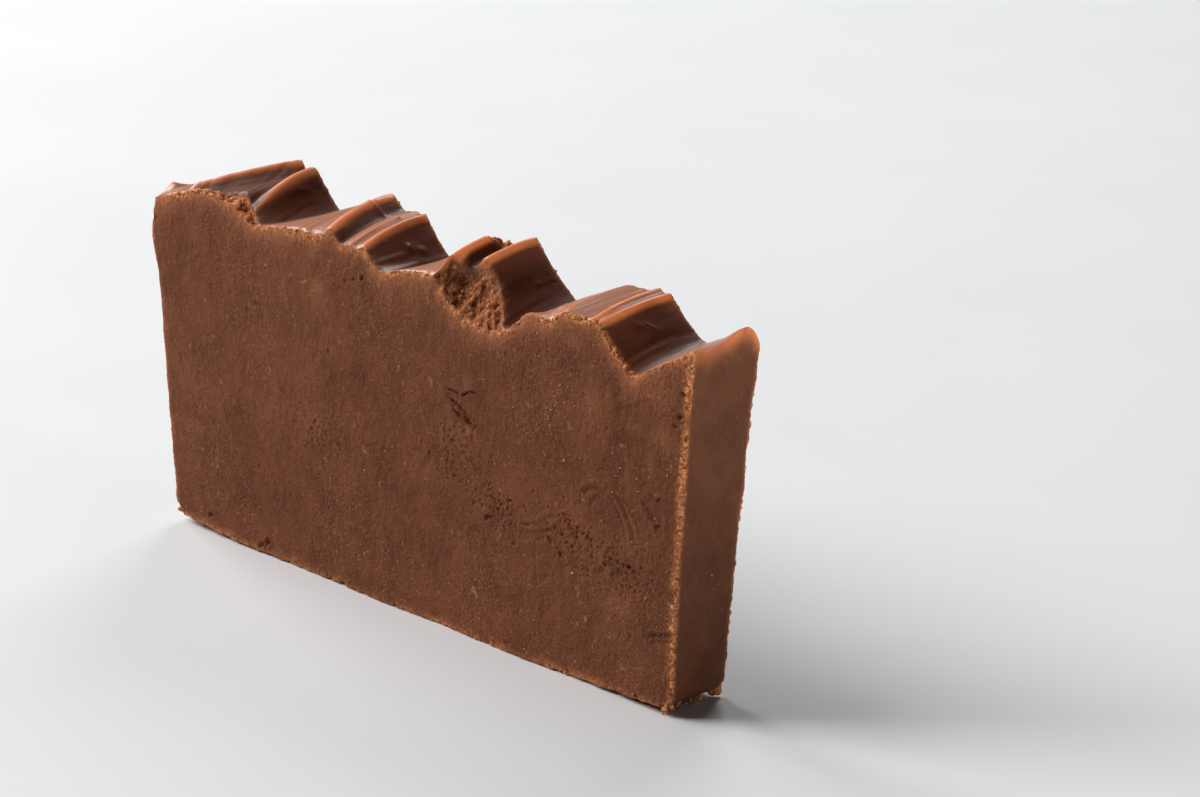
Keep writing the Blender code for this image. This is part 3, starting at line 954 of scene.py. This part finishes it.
def shape_surface(surface):
    """Displacement of every lattice point along its normal, and the masks that the material reads."""
    points = surface.points
    count = len(points)
    relief = face_relief(surface) + skin_relief(surface)
    hollow = np.zeros(count)

    front_pits = list(FRONT_PITS) + scattered_pits(FRONT_PATCHES, seed=41)
    front_pits += whole_face_pits(radius=0.24, depth=0.16, seed=43)
    add_pits(relief, hollow, points, surface.front, front_pits, seed=45)
    rear_pits = scattered_pits(REAR_PATCHES, seed=47) + whole_face_pits(radius=0.26, depth=0.18, seed=49)
    add_pits(relief, hollow, points, surface.rear, rear_pits, seed=51)
    add_strokes(relief, hollow, points[:, [0, 2]], surface.front, FRONT_STROKES)
    on_top = np.stack([surface.loaf_x, surface.from_front], axis=1)
    add_strokes(relief, hollow, on_top, surface.top, TOP_STROKES)
    add_blobs(relief, on_top, surface.top, TOP_BLOBS)
    _, slant_ridge, shelf = slant_lift(surface.loaf_x, surface.from_front)

    strength = rim_strength(surface)
    breaks = break_mask(surface)
    face_rim_width = np.where(surface.right_gap < surface.top_gap, RIGHT_RIM_WIDTH, FACE_RIM_WIDTH)
    face_rim_width = face_rim_width * (1.0 + noise_relief(points, RIM_WANDER, DENT_LAYERS))
    rim_width = np.where(surface.cut, face_rim_width, SKIN_RIM_WIDTH)
    on_rim = bell(surface.rim_gap, rim_width) * strength
    crumbly = np.clip(np.maximum(on_rim, breaks), 0.0, 1.2)
    coarse = crumb_relief(points, crumbly > FAINT, COARSE_CRUMBS)
    fine = crumb_relief(points, crumbly > FAINT, FINE_CRUMBS)
    chunks = crumb_relief(points, breaks > FAINT, CHUNKS)
    relief += crumbly * (COARSE_CRUMBS.height * coarse + FINE_CRUMBS.height * fine)
    relief += breaks * (CHUNKS.height * chunks + BREAK_COARSE_HEIGHT * coarse)
    bowls = bowl_relief(surface, breaks)
    relief += bowls
    relief -= 0.22 * bell(surface.rim_gap, 0.4) * (0.35 + strength)
    add_nicks(relief, hollow, surface, strength, seed=57)

    # Painted shade in the crevices of the crumbs and in the bowls of the broken edges.
    crevices = crumbly * np.clip(-coarse - 0.15, 0.0, 1.0) * (1.0 - 0.7 * breaks)
    crevices = np.maximum(crevices, breaks * np.clip(-chunks - 0.25, 0.0, 1.0))
    shade = np.clip(-0.3 * bowls, 0.0, 0.5)
    top = surface.top * (1.0 - breaks)
    bend, slope = top_bend_and_slope(surface)
    # Painted light on the ramps, the slopes that face the key light.
    ramp = share_between(slope, RAMP_SLOPE) * (1.0 - shelf)
    # Painted shade on two steep faces, kept off the ramps.
    steep_shade = sum(bell(surface.loaf_x - middle, spread) for middle, spread in STEEP_SHADES)
    steep_shade = steep_shade * (1.0 - ramp)
    rim_colour = np.clip(1.5 * on_rim, 0.0, 1.0)
    pitted = patch_mask(points, FRONT_PATCHES) * surface.front
    pitted += patch_mask(points, REAR_PATCHES) * surface.rear
    # Painted orange glow along the ridges and at the top of the ends.
    crest = np.maximum(share_between(bend, CREST_BEND) * (1.0 - shelf), slant_ridge) * top
    tip_glow = 0.45 + 0.5 * share_between(surface.from_front, END_TIP)
    end_glow = bell(surface.top_gap, END_GLOW) * tip_glow * surface.end
    # Painted glow along the top of the cut faces.
    face_glow = bell(surface.top_gap, FACE_GLOW) * surface.cut
    surface.relief = relief
    surface.crumbly = np.clip(crumbly, 0.0, 1.0)
    surface.masks = {
        "crumbly": np.maximum(rim_colour * (1.0 - breaks), break_mask(surface, BREAK_CRUMB_SHARES)),
        # Painted shade in the pits, nicks, knife marks, crevices and bowls.
        "hollow": np.clip(np.maximum.reduce([hollow, crevices, shade]), 0.0, 1.0),
        "pale": pale_mask(points, FRONT_PALES) * surface.front,
        # Painted glow along the top of the cut faces.
        "glow": face_glow * np.clip(0.75 + noise_relief(points, GLOW_PATCHES), 0.0, 1.0),
        "pitted": np.clip(pitted + 0.25 * surface.cut, 0.0, 1.0),
        "skin": np.where(surface.cut, 0.0, 1.0) * (1.0 - bell(surface.rim_gap, 0.4)) * (1.0 - breaks),
        "gloss": top * (1.0 - 0.8 * np.clip(steep_shade, 0.0, 1.0)) * (1.0 - 0.6 * shelf),
        "end": surface.end.astype(float),
        # Painted glow on the ridges and the tips of the ends.
        "crest": np.maximum(crest, end_glow),
        # Painted shade in the grooves, on the shelf and on two steep faces.
        "groove": np.maximum.reduce([share_between(-bend, GROOVE_BEND), 0.9 * shelf, steep_shade]) * top,
        # Painted light on the ramps.
        "ramp": ramp * top,
    }


def thinned(body, triangles):
    """Collapses the flat parts of the lattice, so that the detail keeps its points within the limit."""
    total = sum(len(face.vertices) - 2 for face in body.data.polygons)
    if total <= triangles:
        return
    modifier = body.modifiers.new("thinned", "DECIMATE")
    modifier.ratio = triangles / total
    graph = bpy.context.evaluated_depsgraph_get()
    mesh = bpy.data.meshes.new_from_object(body.evaluated_get(graph))
    body.modifiers.clear()
    body.data = mesh


def build_body(material):
    steps, faces = box_lattice(LATTICE_STEPS)
    shares = steps / steps.max(axis=0)
    points = slice_points(shares)
    lift, _, _ = slant_lift((2.0 * shares[:, 0] - 1.0) * HALF_LENGTH, shares[:, 1] * TOP_THICKNESS)
    points[:, 2] += lift * share_between(shares[:, 2], LIFTED_PART)
    mesh = mesh_from("fudge_body", points, faces)
    surface = describe_surface(shares, points, vertex_normals(mesh))
    shape_surface(surface)
    moved = points + surface.normals * surface.relief[:, None]
    surface.y_limits = (points[:, 1].min() - BOX_ALLOWANCE, points[:, 1].max() + BOX_ALLOWANCE)
    moved[:, 1] = np.clip(moved[:, 1], *surface.y_limits)
    moved[:, 2] = np.maximum(moved[:, 2], 0.0)
    mesh.vertices.foreach_set("co", ((moved + np.array(MODEL_SHIFT)) * METRES_PER_MM).ravel())
    for name, values in surface.masks.items():
        mesh.attributes.new(name, "FLOAT", "POINT").data.foreach_set("value", values.astype(np.float32))
    mesh.update()
    body = bpy.data.objects.new("fudge_body", mesh)
    bpy.context.scene.collection.objects.link(body)
    surface.points = moved
    surface.normals = vertex_normals(mesh)
    thinned(body, BODY_TRIANGLES)
    body.data.shade_smooth()
    body.data.materials.clear()
    body.data.materials.append(material)
    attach(body, "root")
    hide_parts(NODE)
    return surface


def ball_mesh(subdivisions):
    """Points and triangles of a unit ball, which crumbs and grains are shaped from."""
    ball = bmesh.new()
    bmesh.ops.create_icosphere(ball, subdivisions=subdivisions, radius=1.0)
    points = np.array([vertex.co for vertex in ball.verts])
    faces = np.array([[vertex.index for vertex in face.verts] for face in ball.faces])
    ball.free()
    return points, faces


def random_turn(random):
    """A random rotation matrix."""
    turned, _ = np.linalg.qr(random.normal(0.0, 1.0, (3, 3)))
    return turned * np.sign(np.linalg.det(turned))


def build_lumps(name, places, sizes, material, roughness, subdivisions, seed):
    """One piece of many small irregular lumps, each at its place and of its own size and shape."""
    random = np.random.default_rng(seed)
    ball, triangles = ball_mesh(subdivisions)
    points = []
    faces = []
    for place, size in zip(places, sizes):
        stretch = random.uniform(0.6, 1.25, 3)
        bumps = 1.0 + roughness * random.uniform(-1.0, 1.0, (len(ball), 1))
        lump = (ball * bumps * stretch) @ random_turn(random).T * size
        faces.append(triangles + len(points) * len(ball))
        points.append(lump + place)
    mesh = mesh_from(name, np.concatenate(points), np.concatenate(faces))
    mesh.materials.append(material)
    piece = bpy.data.objects.new(name, mesh)
    bpy.context.scene.collection.objects.link(piece)
    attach(piece, "root")


def chosen_points(chance, count, random):
    """Numbers of surface points, drawn more often where the chance is higher."""
    return random.choice(len(chance), count, replace=False, p=chance / chance.sum())


def build_crumbs(surface, material):
    """Loose crumbs that cling to the crumbly edges, and a few on the floor at the foot of the right end."""
    random = np.random.default_rng(61)
    chance = np.clip(surface.crumbly - 0.35, 0.0, None) ** 1.5 * (surface.points[:, 2] > 0.6)
    chance *= np.where(surface.front & (surface.top_gap < 2.0), TOP_CRUMB_SHARE, 1.0)
    chance *= np.where(surface.rear | (surface.rear_gap < surface.front_gap), REAR_CRUMB_SHARE, 1.0)
    chance *= 1.0 - 0.6 * break_mask(surface)
    on_edge = chosen_points(chance, CRUMBS, random)
    sizes = CRUMB_RADIUS * random.lognormal(0.0, CRUMB_VARIETY, CRUMBS)
    lifts = sizes * random.uniform(-0.5, 0.3, CRUMBS)
    places = surface.points[on_edge] + surface.normals[on_edge] * lifts[:, None]
    reach = CRUMB_REACH * sizes
    low, high = surface.y_limits
    places[:, 1] = np.clip(places[:, 1], low + reach, high - reach)
    places[:, 2] = np.maximum(places[:, 2], reach)
    foot_sizes = CRUMB_RADIUS * random.lognormal(FOOT_CRUMB_GROWTH, CRUMB_VARIETY, FOOT_CRUMBS)
    along = random.beta(*FOOT_CRUMB_BUNCHING, FOOT_CRUMBS)
    piled = random.uniform(0.0, 1.0, FOOT_CRUMBS) ** 2 * FOOT_CRUMB_PILE
    drift = random.normal(0.0, 0.2, FOOT_CRUMBS)
    x = blend(FOOT_CRUMB_START[0], FOOT_CRUMB_END[0], along) + drift + 0.6 * piled
    y = blend(FOOT_CRUMB_START[1], FOOT_CRUMB_END[1], along) + random.normal(0.0, 0.3, FOOT_CRUMBS)
    y = np.maximum(y, FOOT_CRUMB_START[1] - 0.3)
    z = foot_sizes * CRUMB_REACH + piled
    foot_places = np.stack([x, y, z], axis=1)
    places = np.concatenate([places, foot_places])
    sizes = np.concatenate([sizes, foot_sizes])
    build_lumps("fudge_crumbs", places, sizes, material, roughness=0.28, subdivisions=2, seed=63)


def build_sugar(surface, material):
    """Tiny pale sugar grains, mostly in the right half of the front face and in the crumbly edges."""
    random = np.random.default_rng(65)
    points = surface.points
    patchy = np.clip(lumps(points, 9.0, seed=67) + 0.35, 0.02, None) ** 2
    right = np.clip((points[:, 0] + 20.0) / 60.0, 0.15, 1.0)
    on_faces = surface.front * right + surface.rear * 0.5 + 0.12 * surface.end
    chance = patchy * (on_faces + 0.5 * surface.crumbly)
    chosen = chosen_points(chance, SUGAR_GRAINS, random)
    sizes = SUGAR_RADIUS * random.lognormal(0.0, SUGAR_VARIETY, SUGAR_GRAINS)
    places = points[chosen] + surface.normals[chosen] * (0.25 * sizes)[:, None]
    build_lumps("sugar_grains", places, sizes, material, roughness=0.3, subdivisions=1, seed=69)


def feed(tree, made, inputs):
    """Gives each named or numbered input of a node the output that it reads, or its constant value."""
    for key, value in inputs.items():
        if isinstance(value, bpy.types.NodeSocket):
            tree.links.new(value, made.inputs[key])
        else:
            made.inputs[key].default_value = value


def node(tree, kind, inputs, **settings):
    """A shader node of this kind with its settings and inputs."""
    made = tree.nodes.new(kind)
    for key, value in settings.items():
        setattr(made, key, value)
    feed(tree, made, inputs)
    return made


def attribute(tree, name):
    return node(tree, "ShaderNodeAttribute", {}, attribute_name=name).outputs["Fac"]


def noise(tree, scale, detail, coordinates, roughness=0.55, distortion=0.0):
    pattern = {"Scale": scale, "Detail": detail, "Roughness": roughness, "Distortion": distortion}
    return node(tree, "ShaderNodeTexNoise", pattern | {"Vector": coordinates}).outputs["Fac"]


def stretched(tree, coordinates, scale):
    return node(tree, "ShaderNodeMapping", {"Scale": scale, "Vector": coordinates}).outputs["Vector"]


def ranged(tree, value, low, high, to_low=0.0, to_high=1.0):
    limits = {"From Min": low, "From Max": high, "To Min": to_low, "To Max": to_high}
    return node(tree, "ShaderNodeMapRange", limits | {"Value": value}).outputs["Result"]


def arithmetic(tree, operation, first, second):
    return node(tree, "ShaderNodeMath", {0: first, 1: second}, operation=operation).outputs["Value"]


def mixed(tree, share, first, second):
    """A colour between two, each a colour or an output."""
    inputs = {MIX_SHARE: share, MIX_FIRST: first, MIX_SECOND: second}
    return node(tree, "ShaderNodeMix", inputs, data_type="RGBA").outputs[MIX_RESULT]


def dots(tree, where, scale, radius, share):
    """Small round dots in a share of the cells: one in the middle of a dot and zero outside."""
    cells = node(tree, "ShaderNodeTexVoronoi", {"Scale": scale, "Vector": where})
    inside = ranged(tree, cells.outputs["Distance"], radius, 0.4 * radius)
    chosen = arithmetic(tree, "LESS_THAN", cells.outputs["Color"], share)
    return arithmetic(tree, "MULTIPLY", inside, chosen)


def times(tree, first, second):
    return arithmetic(tree, "MULTIPLY", first, second)


def new_material(name):
    """A new material with its node tree, its shader and the coordinates of the object."""
    material = bpy.data.materials.new(name)
    material.use_nodes = True
    tree = material.node_tree
    where = node(tree, "ShaderNodeTexCoord", {}).outputs["Object"]
    return material, tree, tree.nodes["Principled BSDF"], where


def cut_colour(tree, where):
    """Mottled brown of the cut faces, with soft pale smears, small pale specks and a painted glow along
    their top.
    """
    cloudy = ranged(tree, noise(tree, 110.0, 4.0, where), 0.3, 0.7)
    leaning = stretched(tree, where, (800.0, 500.0, 210.0))
    smears = noise(tree, 1.0, 4.0, leaning, distortion=1.6)
    flecks = ranged(tree, noise(tree, 700.0, 2.0, where, distortion=0.8), 0.66, 0.74)
    fine_specks = dots(tree, where, 1250.0, 0.3, 0.4)
    grain = ranged(tree, noise(tree, 2400.0, 2.0, where), 0.42, 0.62)
    broad = ranged(tree, noise(tree, 28.0, 2.0, where), 0.42, 0.62)
    colour = mixed(tree, cloudy, CUT_DARK, CUT_LIGHT)
    colour = mixed(tree, times(tree, broad, 0.16), colour, SMEAR)
    colour = mixed(tree, times(tree, ranged(tree, smears, 0.5, 0.72), 0.5), colour, SMEAR)
    colour = mixed(tree, times(tree, grain, 0.22), colour, SMEAR)
    colour = mixed(tree, times(tree, attribute(tree, "pale"), 0.75), colour, PALE)
    # Painted glow along the top of the cut faces.
    colour = mixed(tree, times(tree, attribute(tree, "glow"), 0.8), colour, PAINTED_GLOW)
    colour = mixed(tree, times(tree, fine_specks, 0.5), colour, SPECK)
    return mixed(tree, times(tree, flecks, 0.6), colour, SPECK)


def skin_colour(tree, where):
    """The moulded skin: painted shade on the steep faces and in the grooves, painted light that makes the
    ramps pinkish, and a painted orange glow on the ridges and the tips of the ends.
    """
    cloudy = ranged(tree, noise(tree, 130.0, 4.0, where), 0.35, 0.68)
    drawn = stretched(tree, where, (300.0, 700.0, 500.0))
    scuffs = ranged(tree, noise(tree, 1.0, 4.0, drawn, 0.6, 1.4), 0.55, 0.72)
    end_colour = mixed(tree, cloudy, END_DARK, END_LIGHT)
    end_colour = mixed(tree, times(tree, scuffs, 0.35), end_colour, SMEAR)
    colour = mixed(tree, cloudy, SKIN_DARK, SKIN_LIGHT)
    colour = mixed(tree, attribute(tree, "end"), colour, end_colour)
    # Painted light and sheen on the ramps.
    colour = mixed(tree, times(tree, attribute(tree, "ramp"), 0.9), colour, PAINTED_RAMP_LIGHT)
    # Painted orange glow on the ridges and the tips of the ends.
    colour = mixed(tree, times(tree, attribute(tree, "crest"), 0.9), colour, PAINTED_CREST_GLOW)
    # Painted shade in the grooves, on the shelf and on two steep faces.
    return mixed(tree, times(tree, attribute(tree, "groove"), 0.55), colour, PAINTED_SHADE)


def fudge_material():
    """Brown fudge: matte and mottled where it was cut, smoother skin, glossy top, pale crumbly edges, and
    painted shade in its pits and hollows.
    """
    material, tree, shader, where = new_material("fudge")
    grain = noise(tree, 1500.0, 3.0, where)
    tiny_pits = times(tree, dots(tree, where, 1150.0, 0.42, 0.5), attribute(tree, "pitted"))

    colour = mixed(tree, attribute(tree, "skin"), cut_colour(tree, where), skin_colour(tree, where))
    crumbly_colour = mixed(tree, ranged(tree, grain, 0.4, 0.62), CRUMBLY_DARK, CRUMBLY_LIGHT)
    colour = mixed(tree, times(tree, attribute(tree, "crumbly"), 0.9), colour, crumbly_colour)
    # Painted shade in the tiny pits and in the hollows.
    colour = mixed(tree, times(tree, tiny_pits, 0.55), colour, PAINTED_SHADE)
    colour = mixed(tree, times(tree, attribute(tree, "hollow"), 0.5), colour, PAINTED_SHADE)
    rough = ranged(tree, attribute(tree, "skin"), 0.0, 1.0, 0.75, 0.52)
    rough = arithmetic(tree, "ADD", rough, times(tree, grain, 0.06))
    coat = times(tree, attribute(tree, "gloss"), 0.7)

    matte = arithmetic(tree, "SUBTRACT", 1.0, times(tree, attribute(tree, "skin"), 0.85))
    height = times(tree, noise(tree, 2200.0, 3.0, where), 0.4)
    height = arithmetic(tree, "ADD", height, times(tree, noise(tree, 520.0, 4.0, where, 0.6, 0.3), 1.3))
    height = arithmetic(tree, "SUBTRACT", height, tiny_pits)
    bump = node(tree, "ShaderNodeBump", {"Distance": BUMP_HEIGHT, "Strength": matte, "Height": height})

    feed(tree, shader, {"Base Color": colour, "Roughness": rough, "Normal": bump.outputs["Normal"]})
    feed(tree, shader, {"Coat Weight": coat, "Coat Roughness": 0.3, "Coat IOR": 1.45})
    feed(tree, shader, {"Specular IOR Level": 0.14, "Subsurface Weight": 0.3})
    feed(tree, shader, {"Subsurface Radius": (1.0, 0.35, 0.15), "Subsurface Scale": 0.0016})
    return material


def crumb_material():
    """Light brown crumbs, each of its own shade."""
    material, tree, shader, where = new_material("fudge_crumb")
    shade = ranged(tree, noise(tree, 900.0, 2.0, where), 0.35, 0.65)
    colour = mixed(tree, shade, CRUMBLY_DARK, CRUMBLY_LIGHT)
    feed(tree, shader, {"Base Color": colour, "Roughness": 0.8, "Specular IOR Level": 0.2})
    return material


def sugar_material():
    """Pale golden grains of sugar."""
    material, tree, shader, where = new_material("sugar_grain")
    shade = ranged(tree, noise(tree, 300.0, 1.0, where), 0.3, 0.7)
    feed(tree, shader, {"Base Color": mixed(tree, shade, SUGAR_DARK, SUGAR_LIGHT), "Roughness": 0.4})
    return material


def floor_material():
    """A plain pale floor, very slightly uneven in its tone."""
    material, tree, shader, where = new_material("pale_floor")
    soft = ranged(tree, noise(tree, 9.0, 3.0, where), 0.3, 0.7)
    feed(tree, shader, {"Base Color": mixed(tree, soft, FLOOR_DARK, FLOOR_LIGHT), "Roughness": 0.55})
    return material


def build_floor():
    mesh = bpy.data.meshes.new("floor")
    corners = [(x * FLOOR_REACH, y * FLOOR_REACH, 0.0) for x, y in ((-1, -1), (1, -1), (1, 1), (-1, 1))]
    mesh.from_pydata(corners, [], [(0, 1, 2, 3)])
    mesh.materials.append(floor_material())
    floor = bpy.data.objects.new("floor", mesh)
    bpy.context.scene.collection.objects.link(floor)


def add_area_light(name, place, target, size, power, spread_deg=180.0):
    """A soft square light at this place that looks at the target."""
    data = bpy.data.lights.new(name, "AREA")
    data.size = size
    data.energy = power
    data.spread = np.radians(spread_deg)
    light = bpy.data.objects.new(name, data)
    light.location = place
    light.rotation_euler = (Vector(target) - Vector(place)).to_track_quat("-Z", "Y").to_euler()
    bpy.context.scene.collection.objects.link(light)


def add_far_light(light):
    """A large soft light far away, seen from the slice in its heading on the floor plan."""
    elevation = np.radians(light.elevation_deg)
    flat = Vector((*light.heading, 0.0)).normalized() * np.cos(elevation)
    towards = Vector((flat.x, flat.y, np.sin(elevation)))
    place = Vector(LIGHT_TARGET) + towards * FAR_LIGHT_DISTANCE
    add_area_light(light.name, place, LIGHT_TARGET, FAR_LIGHT_SIZE, light.power)


def build_lights():
    for light in FAR_LIGHTS:
        add_far_light(light)
    end_light = (END_LIGHT_PLACE, END_LIGHT_TARGET, END_LIGHT_SIZE, END_LIGHT_POWER, END_LIGHT_SPREAD_DEG)
    add_area_light("end_top", *end_light)
    world = bpy.data.worlds.new("studio")
    world.use_nodes = True
    background = world.node_tree.nodes["Background"]
    background.inputs["Color"].default_value = WORLD_COLOUR
    background.inputs["Strength"].default_value = WORLD_STRENGTH
    bpy.context.scene.world = world
    bpy.context.scene.view_settings.view_transform = "Standard"


def build_camera():
    data = bpy.data.cameras.new("camera")
    data.lens = CAMERA_LENS
    data.sensor_width = CAMERA_SENSOR
    data.clip_start = 0.01
    data.clip_end = 20.0
    camera = bpy.data.objects.new("camera", data)
    camera.location = CAMERA_PLACE
    tilt = np.radians(90.0 - CAMERA_ELEVATION_DEG)
    camera.rotation_euler = (tilt, 0.0, np.radians(CAMERA_AZIMUTH_DEG))
    bpy.context.scene.collection.objects.link(camera)
    bpy.context.scene.camera = camera


build_camera()
build_lights()
build_floor()
skin = build_body(fudge_material())
build_crumbs(skin, crumb_material())
build_sugar(skin, sugar_material())
